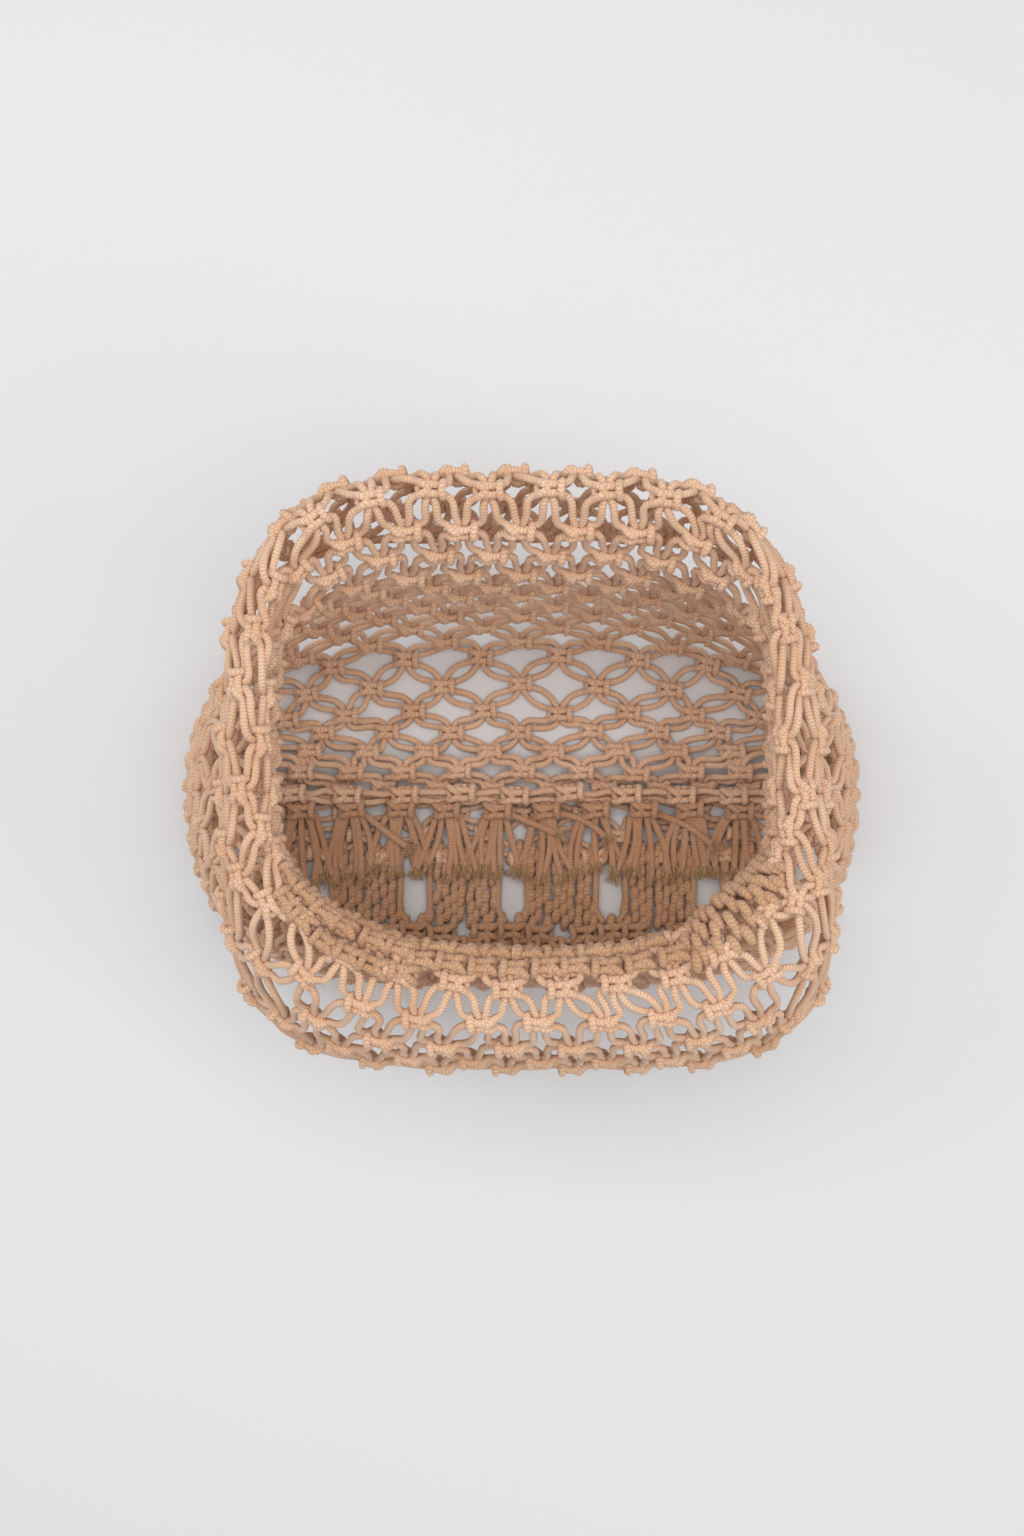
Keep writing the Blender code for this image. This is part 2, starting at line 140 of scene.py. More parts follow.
class Form:
    """The curved form of one panel: it places a point of the net on the bag."""

    def __init__(self, line, reach, height, facing, shift, widen):
        halves = [(MOUTH_WIDTH if n >= MOUTH_FROM else BULGE_WIDTH) / 2
                  for n in range(len(SIDE_LINE))]
        self.columns = [
            [row.width * half for row, half in zip(SIDE_LINE, halves)],
            [row.up * SIDE_HEIGHT for row in SIDE_LINE],
            [facing * row.out * reach for row in line],
            [row.up * height for row in line],
            [row.corner for row in line],
            [row.level for row in line],
        ]
        self.facing = facing
        self.shift = shift
        self.widen = widen
        self.sections = {}

    def outline(self, station):
        """Half of a section, from the side seam to the middle, with its running lengths."""
        key = round(station, 4)
        if key in self.sections:
            return self.sections[key]
        width, side_z, mid_y, mid_z, corner, level = (between(c, key) for c in self.columns)
        over_rim = max(0.0, min(1.0, (key - MOUTH_FROM) / 3))
        steps = [n / SECTION_STEPS for n in range(SECTION_STEPS + 1)]
        angles = [math.pi / 4 * t ** 2 for t in steps]
        angles += [math.pi / 2 - math.pi / 4 * (1 - t) ** 2 for t in steps[1:]]
        points = []
        for angle in angles:
            across = max(math.cos(angle), 0.0) ** (2 / corner)
            out = math.sin(angle) ** (2 / corner)
            z = mid_z + (side_z - mid_z) * (1 - out * out) ** level
            x = (width + self.widen * over_rim * out) * across
            points.append((x, self.shift * over_rim * out, mid_y * out, max(z, WALL / 2)))
        lengths = [0.0]
        for a, b in zip(points, points[1:]):
            lengths.append(lengths[-1] + math.dist((a[0], a[2], a[3]), (b[0], b[2], b[3])))
        self.sections[key] = (points, lengths, lengths[SECTION_STEPS])
        return self.sections[key]

    def place(self, column, station):
        """A point of the panel's middle surface, for a column counted in half pitches."""
        column = min(max(column, 0), HALF_PITCHES)
        points, lengths, corner_length = self.outline(min(max(station, 0), STATIONS))
        half = HALF_PITCHES / 2
        from_side = min(column, HALF_PITCHES - column)
        if from_side <= CORNER_AT:
            even = corner_length * from_side / CORNER_AT
        else:
            share = (from_side - CORNER_AT) / (half - CORNER_AT)
            even = corner_length + (lengths[-1] - corner_length) * share
        crowded = lengths[-1] * (from_side / half) ** FLOOR_CROWDING
        t = max(0.0, min(1.0, (station - FLOOR_TO) / (EVEN_FROM - FLOOR_TO)))
        length = crowded + (even - crowded) * t
        after = min(max(bisect.bisect_right(lengths, length), 1), len(lengths) - 1)
        t = (length - lengths[after - 1]) / (lengths[after] - lengths[after - 1])
        x, lean, y, z = (p + (q - p) * t for p, q in zip(points[after - 1], points[after]))
        return Vector(((-x if column < half else x) + lean, y, z))

    def stand(self, column, station):
        """A place with its directions: across the panel, up towards the hem, and inward."""
        left, right = max(column - STAND_STEP, 0), min(column + STAND_STEP, HALF_PITCHES)
        low, high = max(station - STAND_STEP, 0), min(station + STAND_STEP, STATIONS)
        across = self.place(right, station) - self.place(left, station)
        along = self.place(column, high) - self.place(column, low)
        inward = across.cross(along).normalized() * self.facing
        across = across.normalized() * self.facing
        return self.place(column, station), across, inward.cross(across).normalized(), inward


def between(values, place):
    """The smooth value between the stations of a table, at a place counted in stations."""
    first = min(max(int(math.floor(place)), 0), len(values) - 2)
    t = place - first
    p1, p2 = values[first], values[first + 1]
    p0 = values[first - 1] if first > 0 else 2 * p1 - p2
    p3 = values[first + 2] if first + 2 < len(values) else 2 * p2 - p1
    slope_in, slope_out = (p2 - p0) / 2, (p3 - p1) / 2
    return ((2 * t ** 3 - 3 * t ** 2 + 1) * p1 + (t ** 3 - 2 * t ** 2 + t) * slope_in
            + (3 * t ** 2 - 2 * t ** 3) * p2 + (t ** 3 - t ** 2) * slope_out)


@lru_cache(maxsize=None)
def form(name):
    if name == "back":
        return Form(BACK_LINE, BACK_REACH, BACK_HEIGHT, 1, BACK_SHIFT, 0.0)
    return Form(FRONT_LINE, FRONT_REACH, FRONT_HEIGHT, -1, FLAP_SHIFT, FLAP_WIDEN)


def knot_station(name, row, column):
    """The station of a knot: its row's at the side seam, its panel's away from it."""
    from_side = min(column, HALF_PITCHES - column) / SIDE_BLEND
    t = min(from_side, 1.0)
    t = t * t * (3 - 2 * t)
    line = KNOT_ROWS[row]
    return line.side + (getattr(line, name) - line.side) * t


# The net seen as one tube: places round it are counted in half pitches from the left side
# seam, over the back to the right side seam, and over the front to the left one again.

ROUND = 2 * HALF_PITCHES

# The dense band on the floor takes the place of these rows of the front panel's net
BAND_ROWS = range(4, 7)
BAND_COLUMNS = range(4, 23)

# One square knot, in millimetres: x across, y up, z inward. Each half is mirrored in y.
BAR_CORD = [(6.9, 2.7, -0.2), (5.4, 2.3, 1.2), (3.4, 2.0, 2.8), (0.6, 2.1, 3.3),
            (-2.2, 2.5, 2.7), (-4.4, 2.5, 1.4), (-5.7, 1.5, 0.3), (-6.0, 0.0, 0.0)]
LOOP_CORD = [(-6.9, 3.5, 0.8), (-5.0, 3.0, 3.2), (-3.0, 1.9, 4.6), (-1.3, 1.0, 3.8),
             (-0.6, 0.7, 0.8), (0.4, 1.2, -2.4), (3.2, 1.9, -2.8), (5.4, 3.0, -1.0),
             (6.2, 3.7, 1.6), (5.7, 2.4, 4.5), (5.5, 0.0, 5.2)]
LEFT_FILLER = [(-1.7, 4.3, 0.0), (-1.5, 0.0, -0.7)]
RIGHT_FILLER = [(1.7, 4.3, 0.0), (1.5, 0.0, -0.7)]

# How a cord leaves a knot upwards: a working cord goes sideways, a filler mostly up. The
# pull sets how far a cord between two knots keeps its direction, as a share of their gap.
WORKING_LEAVES = (0.97, 0.24, 0.0)
FILLER_LEAVES = (0.42, 0.91, 0.0)
LINK_PULL = 0.40
LINK_PARTS = 7

KNOT_SCALE_SPREAD = 0.06
KNOT_TURN_SPREAD = math.radians(6)
KNOT_SHIFT_SPREAD = 1.2

# What the small irregularities of each group of knots and cords are drawn from
NET_SEED = 1000
BAND_SEED = 7
PATCH_SEED = 11
SEAM_SEED = 31
FRINGE_SEED = 200

# How far apart a swept cord's rings stand, in millimetres, how many sides each has, and
# into how many parts the smooth curve between two points is read
RING_STEP = 2.0
CORD_SIDES = 6
SMOOTH_PARTS = 6


def cord_radius():
    """Half the width of the cord that the whole bag is knotted from, in metres."""
    return bpy.context.scene.handbag_cord.width / 2


class Knot:
    """Where one knot sits: its place, its directions and its own small irregularity."""

    def __init__(self, place, across, inward, dice, scale=1.0):
        turn, grow, shift_x, shift_y = dice.uniform(-1, 1, 4)
        up = inward.cross(across).normalized()
        across = up.cross(inward).normalized()
        c, s = math.cos(turn * KNOT_TURN_SPREAD), math.sin(turn * KNOT_TURN_SPREAD)
        self.across, self.up = across * c + up * s, up * c - across * s
        self.inward = inward
        self.scale = scale * (1 + grow * KNOT_SCALE_SPREAD)
        self.place = place + (across * shift_x + up * shift_y) * KNOT_SHIFT_SPREAD * MM

    def at(self, point):
        """A point of the knot, given in its own millimetres, on the bag in metres."""
        x, y, z = (part * self.scale * MM for part in point)
        return self.place + self.across * x + self.up * y + self.inward * z

    def aim(self, direction):
        x, y, z = direction
        return (self.across * x + self.up * y + self.inward * z).normalized()


def whole(half):
    """A cord's way through a knot from below, out of the half that is written down."""
    return [(x, -y, z) for x, y, z in half] + [tuple(p) for p in reversed(half[:-1])]


def smooth_run(points, step):
    """Evenly spaced points on a smooth curve through the given ones."""
    p = np.asarray(points, float)
    ends = np.vstack([2 * p[0] - p[1], p, 2 * p[-1] - p[-2]])
    t = np.linspace(0, 1, SMOOTH_PARTS, endpoint=False)[:, None, None]
    p0, p1, p2, p3 = (ends[n:len(ends) - 3 + n] for n in range(4))
    dense = 0.5 * (2 * p1 + (p2 - p0) * t + (2 * p0 - 5 * p1 + 4 * p2 - p3) * t ** 2
                   + (3 * p1 - p0 - 3 * p2 + p3) * t ** 3)
    dense = np.vstack([dense.transpose(1, 0, 2).reshape(-1, 3), p[-1:]])
    run = np.concatenate([[0], np.cumsum(np.linalg.norm(np.diff(dense, axis=0), axis=1))])
    count = max(int(round(run[-1] / step)), 2) + 1
    even = np.linspace(0, run[-1], count)
    return np.stack([np.interp(even, run, dense[:, n]) for n in range(3)], axis=1)


def link(start, leaves, end, arrives):
    """The cord between two knots, without its two ends."""
    pull = (end - start).length * LINK_PULL
    p1, p2 = start + leaves * pull, end - arrives * pull
    points = []
    for n in range(1, LINK_PARTS):
        t = n / LINK_PARTS
        points.append(start * (1 - t) ** 3 + p1 * 3 * t * (1 - t) ** 2
                      + p2 * 3 * t ** 2 * (1 - t) + end * t ** 3)
    return points


class Strands:
    """Round cords gathered into one mesh.

    Its UV map holds millimetres along each cord and the share of a turn around it, which
    the braid's pattern follows. A bevelled curve's own map runs from 0 to 1 along any
    cord, short or long, and would stretch the braid, so the cords are swept here."""

    def __init__(self):
        self.points, self.faces, self.uvs, self.count = [], [], [], 0

    def add(self, line, radius=None, sides=CORD_SIDES):
        """Sweeps a cord along a line of points, in metres. Its radius is one or one a point."""
        line = np.asarray(line, float)
        rings = len(line)
        radii = np.broadcast_to(cord_radius() if radius is None else radius, (rings,))
        tangent = np.gradient(line, axis=0)
        tangent /= np.linalg.norm(tangent, axis=1)[:, None]
        side = np.zeros((rings, 3))
        guess = np.eye(3)[np.argmin(np.abs(tangent[0]))]
        for n in range(rings):
            guess = guess - tangent[n] * guess.dot(tangent[n])
            guess = guess / math.sqrt(guess.dot(guess))
            side[n] = guess
        other = np.cross(tangent, side)
        angles = np.arange(sides) * 2 * math.pi / sides
        ring = (side[:, None] * np.cos(angles)[:, None]
                + other[:, None] * np.sin(angles)[:, None])
        self.points.append((line[:, None] + ring * radii[:, None, None]).reshape(-1, 3))
        run = np.concatenate([[0], np.cumsum(np.linalg.norm(np.diff(line, axis=0), axis=1))])
        run = run / MM
        first = self.count + np.arange(rings - 1)[:, None] * sides
        turn = np.arange(sides)
        after = (turn + 1) % sides
        quads = np.stack([first + turn, first + after, first + sides + after,
                          first + sides + turn], axis=2).reshape(-1, 4)
        self.faces.extend(quads.tolist())
        low, high = turn / sides, (turn + 1) / sides
        for n in range(rings - 1):
            u0, u1 = run[n], run[n + 1]
            for v0, v1 in zip(low, high):
                self.uvs += [u0, v0, u0, v1, u1, v1, u1, v0]
        last = self.count + (rings - 1) * sides
        self.faces.append([self.count + n for n in reversed(range(sides))])
        self.faces.append([last + n for n in range(sides)])
        for end in (run[0], run[-1]):
            self.uvs += [value for v in low for value in (end, v)]
        self.count += rings * sides

    def make(self, name, material, slot, nodes):
        """The finished piece: in place, riding on the bag and standing for its solids."""
        points = np.vstack(self.points)
        mesh = bpy.data.meshes.new(name)
        mesh.from_pydata(points, [], self.faces)
        layer = mesh.uv_layers.new(name="Braid")
        layer.data.foreach_set("uv", np.asarray(self.uvs, np.float32))
        mesh.shade_smooth()
        mesh.materials.append(material)
        return place_piece(name, mesh, nodes)


def place_piece(name, mesh, nodes):
    """A piece at the origin, which rides on the bag and stands for the solids it replaces."""
    piece = bpy.data.objects.new(name, mesh)
    bpy.context.scene.collection.objects.link(piece)
    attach(piece, "root")
    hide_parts(*nodes)
    return piece


# Materials

# The braid of the cord: V-shaped stitches in columns round it, in millimetres
STITCH_LENGTH = 1.7
STITCH_COLUMNS = 4
STITCH_DEPTH = 0.3
# How much of the yarn's own colour is left in a groove of the braid under its painted shade
GROOVE_SHADE_YARN_SHARE = 0.6
# How high the fuzz stands beside a stitch
FUZZ_SHARE = 0.55
# The size of the fuzz on a cord, of a drift of tone, and of a cut yarn's threads
FUZZ_GRAIN = 0.35
BLOTCH_SIZE = 28.0
THREAD_GRAIN = 1.2


def linear(hex_colour):
    """A linear colour, from its sRGB hex value such as "#d9b08c"."""
    channels = [int(hex_colour[n:n + 2], 16) / 255 for n in (1, 3, 5)]
    return tuple(c / 12.92 if c <= 0.04045 else ((c + 0.055) / 1.055) ** 2.4
                 for c in channels)


def node(tree, kind, inputs=None, **settings):
    """Adds a node, sets it and joins what it takes in."""
    made = tree.nodes.new(kind)
    for name, value in settings.items():
        setattr(made, name, value)
    for name, value in (inputs or {}).items():
        if isinstance(value, bpy.types.NodeSocket):
            tree.links.new(value, made.inputs[name])
        else:
            made.inputs[name].default_value = value
    return made


# What a cord's colour is multiplied by, red, green and blue: for the painted shade in the grooves
# of the braid, darker and redder in tone, and where the dye has worn
GROOVE_SHADE_TINT = (0.45, 0.32, 0.24)
WORN_TINT = (0.89, 0.81, 0.74)
# The same for the threads of the cord's core, which show only where it is cut
CORE_TINT = (0.62, 0.58, 0.50)


def tinted(colour, tint=(1.0, 1.0, 1.0)):
    """A colour for a socket, from a linear colour and a tint."""
    return tuple(c * t for c, t in zip(colour, tint)) + (1.0,)


def braided_cotton(name, dye):
    """Cotton cord, braided over a soft core and dyed in the yarn.

    It gives the eye small V-shaped stitches running along each cord, a dull, slightly
    furry surface with no gloss, painted shade in the grooves between the stitches, darker
    and redder there, and slow drifts of tone across a few cords."""
    material = bpy.data.materials.new(name)
    material.use_nodes = True
    tree = material.node_tree
    shader = tree.nodes["Principled BSDF"]

    braid = node(tree, "ShaderNodeUVMap", uv_map="Braid")
    split = node(tree, "ShaderNodeSeparateXYZ", {"Vector": braid.outputs[0]})
    columns = node(tree, "ShaderNodeMath", {0: split.outputs["Y"], 1: 2.0 * STITCH_COLUMNS},
                   operation="MULTIPLY")
    slant = node(tree, "ShaderNodeMath", {0: columns.outputs[0], 1: 1.0}, operation="PINGPONG")
    lean = node(tree, "ShaderNodeMath", {0: slant.outputs[0], 1: math.pi}, operation="MULTIPLY")
    phase = node(tree, "ShaderNodeMath", {0: split.outputs["X"], 1: 2 * math.pi / STITCH_LENGTH,
                                          2: lean.outputs[0]}, operation="MULTIPLY_ADD")
    wave = node(tree, "ShaderNodeMath", {0: phase.outputs[0]}, operation="SINE")
    stitch = node(tree, "ShaderNodeMapRange", {"Value": wave.outputs[0], "From Min": -1.0,
                                               "From Max": 0.6}, interpolation_type="SMOOTHSTEP")

    place = node(tree, "ShaderNodeTexCoord")
    fuzz = node(tree, "ShaderNodeTexNoise", {"Vector": place.outputs["Object"],
                                             "Scale": 1 / (FUZZ_GRAIN * MM), "Detail": 2.0})
    blotch = node(tree, "ShaderNodeTexNoise", {"Vector": place.outputs["Object"],
                                               "Scale": 1 / (BLOTCH_SIZE * MM), "Detail": 3.0})
    height = node(tree, "ShaderNodeMath", {0: fuzz.outputs["Fac"], 1: FUZZ_SHARE,
                                           2: stitch.outputs[0]}, operation="MULTIPLY_ADD")
    bump = node(tree, "ShaderNodeBump", {"Height": height.outputs[0], "Strength": 0.75,
                                         "Distance": STITCH_DEPTH * MM})

    drift = node(tree, "ShaderNodeMapRange", {"Value": blotch.outputs["Fac"], "From Min": 0.35,
                                              "From Max": 0.65})
    yarn = node(tree, "ShaderNodeMix", {"Factor": drift.outputs[0], 6: tinted(dye),
                                        7: tinted(dye, WORN_TINT)}, data_type="RGBA")
    # Painted shade: where the stitch pattern dips into a groove, the yarn's colour is mixed
    # towards the darker, redder groove tint
    groove_shade_mix = node(tree, "ShaderNodeMapRange", {"Value": stitch.outputs[0],
                                               "To Min": GROOVE_SHADE_YARN_SHARE, "To Max": 1.0})
    colour = node(tree, "ShaderNodeMix", {"Factor": groove_shade_mix.outputs[0], 6: tinted(dye, GROOVE_SHADE_TINT),
                                          7: yarn.outputs[2]}, data_type="RGBA")
    tree.links.new(colour.outputs[2], shader.inputs["Base Color"])
    tree.links.new(bump.outputs[0], shader.inputs["Normal"])
    make_dull(shader)
    return material


def make_dull(shader):
    """Raw cotton has no gloss, only the faint sheen of the fibres that stand off it."""
    shader.inputs["Roughness"].default_value = 0.92
    shader.inputs["Specular IOR Level"].default_value = 0.25
    shader.inputs["Sheen Weight"].default_value = 0.25
    shader.inputs["Sheen Roughness"].default_value = 0.6


def cut_yarn(name, dye):
    """Loose cotton yarn, where a braided cord is cut and its core comes undone.

    It gives the eye a dull tuft of single threads, some in the yarn's own tone and some
    in the duller one of its core. It has no braid."""
    material = bpy.data.materials.new(name)
    material.use_nodes = True
    tree = material.node_tree
    shader = tree.nodes["Principled BSDF"]
    place = node(tree, "ShaderNodeTexCoord")
    thread = node(tree, "ShaderNodeTexNoise", {"Vector": place.outputs["Object"],
                                               "Scale": 1 / (THREAD_GRAIN * MM), "Detail": 2.0})
    drift = node(tree, "ShaderNodeMapRange", {"Value": thread.outputs["Fac"], "From Min": 0.35,
                                              "From Max": 0.65})
    colour = node(tree, "ShaderNodeMix", {"Factor": drift.outputs[0], 6: tinted(dye, CORE_TINT),
                                          7: tinted(dye)}, data_type="RGBA")
    tree.links.new(colour.outputs[2], shader.inputs["Base Color"])
    make_dull(shader)
    return material


@lru_cache(maxsize=None)
def net_cotton():
    return braided_cotton("braided_cotton_cord", bpy.context.scene.handbag_cord.net_colour)


@lru_cache(maxsize=None)
def dense_cotton():
    return braided_cotton("packed_cotton_cord", bpy.context.scene.handbag_cord.packed_colour)


@lru_cache(maxsize=None)
def fringe_cotton():
    return braided_cotton("frayed_cotton_cord", bpy.context.scene.handbag_cord.fringe_colour)


@lru_cache(maxsize=None)
def brush_cotton():
    return cut_yarn("cut_cotton_yarn", bpy.context.scene.handbag_cord.brush_colour)


# The net

def net_cord(side, column, rows):
    """One cord's way from row to row. It ties the knots of its own column and passes
    straight through those of the next column on the side that it works on."""
    line, leaves = [], None
    for row in rows:
        working = (row + column) % 2 == 0
        knot = knot_at(column if working else column + side, row)
        if working:
            half = BAR_CORD if side > 0 else LOOP_CORD
        else:
            half = LEFT_FILLER if side > 0 else RIGHT_FILLER
        x, y, z = WORKING_LEAVES if working else FILLER_LEAVES
        x *= side if working else -side
        way = [knot.at(point) for point in whole(half)]
        if line:
            line += link(line[-1], leaves, way[0], knot.aim((-x, y, z)))
        line += way
        leaves = knot.aim((x, y, z))
    run = smooth_run(line, RING_STEP * MM)
    run[:, 2] = np.maximum(run[:, 2], cord_radius())
    return run


@lru_cache(maxsize=None)
def knot_at(place_round, row):
    """A knot of the net. One on a side seam stands midway between the two panels' forms."""
    column = place_round % ROUND
    names = ["back"] if column <= HALF_PITCHES else ["front"]
    if column % HALF_PITCHES == 0:
        names = ["back", "front"]
    stands = []
    for name in names:
        on_panel = column if name == "back" else (ROUND - column) % ROUND
        stands.append(form(name).stand(on_panel, knot_station(name, row, on_panel)))
    place, across, _, inward = (sum(parts, Vector()) / len(stands) for parts in zip(*stands))
    dice = np.random.default_rng(NET_SEED + column * 50 + row)
    return Knot(place, across, inward.normalized(), dice)


def row_runs(column):
    """The rows that a cord runs through without a break: the dense band interrupts it."""
    on_front = ROUND - column % ROUND
    if on_front in BAND_COLUMNS:
        return [range(0, BAND_ROWS.start), range(BAND_ROWS.stop, LAST_ROW + 1)]
    return [range(0, LAST_ROW + 1)]


class HANDBAG_OT_net(bpy.types.Operator):
    """Ties the open net of both panels, cord by cord, from the bottom seam to the hems"""
    bl_idname = "handbag.net"
    bl_label = "Tie the net"

    def execute(self, context):
        half = HALF_PITCHES // 2
        quarters = [("back_net_left", "back_panel", range(0, half)),
                    ("back_net_right", "back_panel", range(half, 2 * half)),
                    ("front_net_right", "front_panel", range(2 * half, 3 * half)),
                    ("front_net_left", "front_panel", range(3 * half, 4 * half))]
        for name, panel, columns in quarters:
            strands = Strands()
            for column in columns:
                for side in (1, -1):
                    for rows in row_runs(column):
                        strands.add(net_cord(side, column, rows))
            strands.make(name, net_cotton(), "net_cord", [panel])
        return {"FINISHED"}


# The dense band on the floor, with its tall gaps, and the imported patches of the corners

BLOCK_PITCH = 0.060
BLOCK_SHIFT = -0.005
BLOCK_GAPS = 5
GAP_WIDTH = 0.017
GAP_LENGTH = 0.038
GAP_TIP = 0.008
BAND_AT = 0.063
BAND_HALF_WIDTH = 0.172

# The knots between the blocks and the front wall, each by its x from the middle of a tall
# gap and its y on the bag. They leave small holes open between them.
BAND_KNOTS = ((0.0, -0.0880), (0.0165, -0.0885), (-0.0165, -0.0890), (0.0080, -0.0985),
              (-0.0080, -0.0975), (0.0230, -0.0990), (-0.0230, -0.0985), (0.0, -0.1075),
              (0.0160, -0.1080), (-0.0160, -0.1070), (0.0300, -0.1075))

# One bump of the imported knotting, in millimetres: a cord that comes up, passes over and dives
BUMP = [(-0.8, -4.3, -1.9), (-0.5, -2.8, 0.8), (0.0, 0.0, 2.2), (0.5, 2.8, 0.8), (0.8, 4.3, -1.9)]
BUMP_RADIUS = 2.65
BUMP_SPREAD = 0.07
BUMP_ACROSS = 4.8
BUMP_ALONG = 7.4
BUMP_STEP = 1.6
# A bump is thinner towards its two ends, where it dives: the power sets how soon
BUMP_END = 0.3
BUMP_FULLNESS = 0.25

# How far inward of the form the band's bumps and its knots lie, and how near to a tall gap
BUMP_LIFT = 0.0012
BAND_KNOT_LIFT = 0.002
BAND_KNOT_SCALE = 1.18
GAP_MARGIN = 0.0014
# The bumps start past the gaps' far end, under the fringe, and end just past their tip
BAND_OVER_BACK = 0.006
BAND_PAST_FRONT = 0.001
# The cord along each side of a tall gap: how far out of the gap, and its height
GAP_CORD_OUT = 0.0005
GAP_CORD_HEIGHT = 0.005

# The stations between which the floor lies, and how often they are halved to find a place
FLOOR_STATIONS = (0.3, 4.6)
HALVINGS = 18
FIND_ROUNDS = 4


def find_stand(x, y):
    """The stand on the front panel's floor at a place of the bag, found by halving."""
    panel, column = form("front"), HALF_PITCHES / 2
    for _ in range(FIND_ROUNDS):
        low, high = FLOOR_STATIONS
        for _ in range(HALVINGS):
            station = (low + high) / 2
            low, high = (station, high) if panel.place(column, station).y > y else (low, station)
        low, high = 0.0, float(HALF_PITCHES)
        for _ in range(HALVINGS):
            column = (low + high) / 2
            low, high = (column, high) if panel.place(column, station).x < x else (low, column)
    return panel.stand(column, station)


def in_tall_gap(x, y, margin):
    """Whether a place lies in one of the tall gaps between the dense blocks."""
    span = (BLOCK_GAPS - 1) / 2
    n = round((x - BLOCK_SHIFT) / BLOCK_PITCH)
    if abs(n) > span:
        return False
    off = abs(x - BLOCK_SHIFT - n * BLOCK_PITCH)
    front = -(BAND_AT + GAP_LENGTH / 2)
    half = GAP_WIDTH / 2 * min(1.0, max(0.0, (y - front) / GAP_TIP))
    return half > 0 and off < half + margin and y < front + GAP_LENGTH + margin


def add_bump(strands, stand, dice, lift):
    """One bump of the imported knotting, lifted inward off the form."""
    place, across, _, inward = stand
    knot = Knot(place + inward * lift, across, inward, dice)
    run = smooth_run([knot.at(point) for point in BUMP], BUMP_STEP * MM)
    run[:, 2] = np.maximum(run[:, 2], cord_radius())
    thick = np.sin(np.linspace(BUMP_END, math.pi - BUMP_END, len(run))) ** BUMP_FULLNESS
    strands.add(run, BUMP_RADIUS * MM * (1 + dice.uniform(-1, 1) * BUMP_SPREAD) * thick)


def add_lone_knot(strands, stand, dice, scale=1.0, lift=0.0):
    """A square knot whose cords end inside its packed neighbours."""
    place, across, _, inward = stand
    knot = Knot(place + inward * lift, across, inward, dice, scale=scale)
    for half in (BAR_CORD, LOOP_CORD, LEFT_FILLER, RIGHT_FILLER):
        run = smooth_run([knot.at(point) for point in whole(half)], RING_STEP * MM)
        run[:, 2] = np.maximum(run[:, 2], cord_radius())
        strands.add(run)


class HANDBAG_OT_floor_band(bpy.types.Operator):
    """Knots the dense blocks of the floor band, round its tall gaps"""
    bl_idname = "handbag.floor_band"
    bl_label = "Knot the floor band"

    def execute(self, context):
        strands, dice = Strands(), np.random.default_rng(BAND_SEED)
        columns = int(BAND_HALF_WIDTH / (BUMP_ACROSS * MM))
        back = GAP_LENGTH / 2 - BAND_AT + BAND_OVER_BACK
        front = -BAND_AT - GAP_LENGTH / 2 - BAND_PAST_FRONT
        for n in range(-columns, columns + 1):
            x = BLOCK_SHIFT + (n + 0.5) * BUMP_ACROSS * MM
            y = back - (n % 2) * BUMP_ALONG * MM / 2
            while y > front:
                if not in_tall_gap(x, y, GAP_MARGIN):
                    add_bump(strands, find_stand(x, y), dice, BUMP_LIFT)
                y -= BUMP_ALONG * MM
        for n in range(BLOCK_GAPS):
            middle = BLOCK_SHIFT + (n - (BLOCK_GAPS - 1) / 2) * BLOCK_PITCH
            for side in (-1, 1):
                self.edge_gap(strands, middle, side, back, front)
        for n in range(-BLOCK_GAPS // 2, BLOCK_GAPS // 2 + 2):
            for off, y in BAND_KNOTS:
                x = BLOCK_SHIFT + n * BLOCK_PITCH + off
                if abs(x) < BAND_HALF_WIDTH - 2 * BUMP_ACROSS * MM:
                    add_lone_knot(strands, find_stand(x, y), dice, BAND_KNOT_SCALE,
                                  BAND_KNOT_LIFT)
        strands.make("floor_band", dense_cotton(), "dense_cord", ["front_panel"])
        return {"FINISHED"}

    def edge_gap(self, strands, middle, side, back, front):
        """The cord that runs down one side of a tall gap and turns in at its tip."""
        edge = middle + side * (GAP_WIDTH / 2 + GAP_CORD_OUT)
        line = [(edge, back - GAP_LENGTH / 3 * t, GAP_CORD_HEIGHT) for t in (0, 1, 2)]
        line += [(edge, front + GAP_TIP, GAP_CORD_HEIGHT),
                 (middle + side * GAP_WIDTH / 4, front, GAP_CORD_HEIGHT)]
        strands.add(smooth_run(line, RING_STEP * MM))


# A packed patch's extent in columns and stations of the front panel, how far it stands
# inward, and the pitch of its knots or bumps in millimetres
Patch = namedtuple("Patch", "name columns stations bulge across along knots")
PATCH_LIFT = 0.0015
PATCHES = [
    Patch("corner_patch_right", (19.0, 24.0), (6.9, 8.9), 0.008, BUMP_ACROSS, BUMP_ALONG, False),
    Patch("corner_patch_left", (3.0, 8.0), (7.7, 9.4), 0.002, 14.5, 10.5, True),
    Patch("crest_packing", (8.2, 18.0), (7.5, 8.7), 0.0, 15.5, 10.5, True),
]


